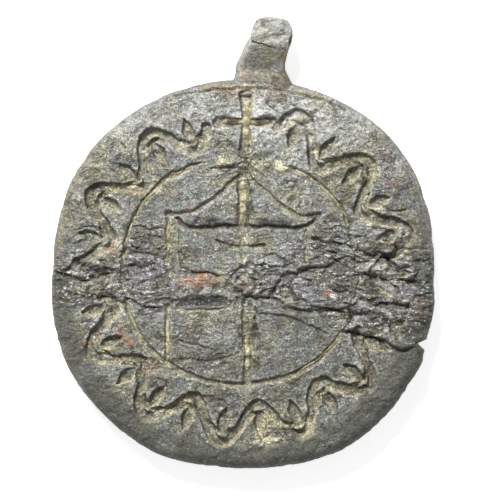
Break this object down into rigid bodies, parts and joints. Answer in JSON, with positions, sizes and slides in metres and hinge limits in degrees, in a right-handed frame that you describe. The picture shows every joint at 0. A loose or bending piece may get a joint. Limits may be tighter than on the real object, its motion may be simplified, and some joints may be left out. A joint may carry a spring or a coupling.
{
  "type": "lead seal matrix",
  "caption": "Round hand-cast lead seal matrix with an engraved face, a cross, a vine border and a folded loop for a cord.",
  "frame": {"origin": "middle of the plate on its flat back", "axes": "+Z out of the engraved face, +Y from the plate's middle towards the loop, +X to the right of the engraving"},
  "size_m": [0.0359, 0.0424, 0.0046],
  "materials": {
    "lead_plate": "dull grey lead with a dark patina, matt",
    "lead_loop": "paler worn lead, matt",
    "earth": "dry pale ochre earth, matt"
  },
  "bodies": {
    "root": {"seal_plate": "lead_plate", "suspension_loop": "lead_loop", "earth_in_cross": "earth", "earth_in_staff_top": "earth", "earth_in_staff_foot": "earth", "earth_in_left_post_top": "earth", "earth_in_left_post_foot": "earth", "earth_in_circle_left": "earth", "earth_in_circle_right": "earth"}
  },
  "joints": []
}
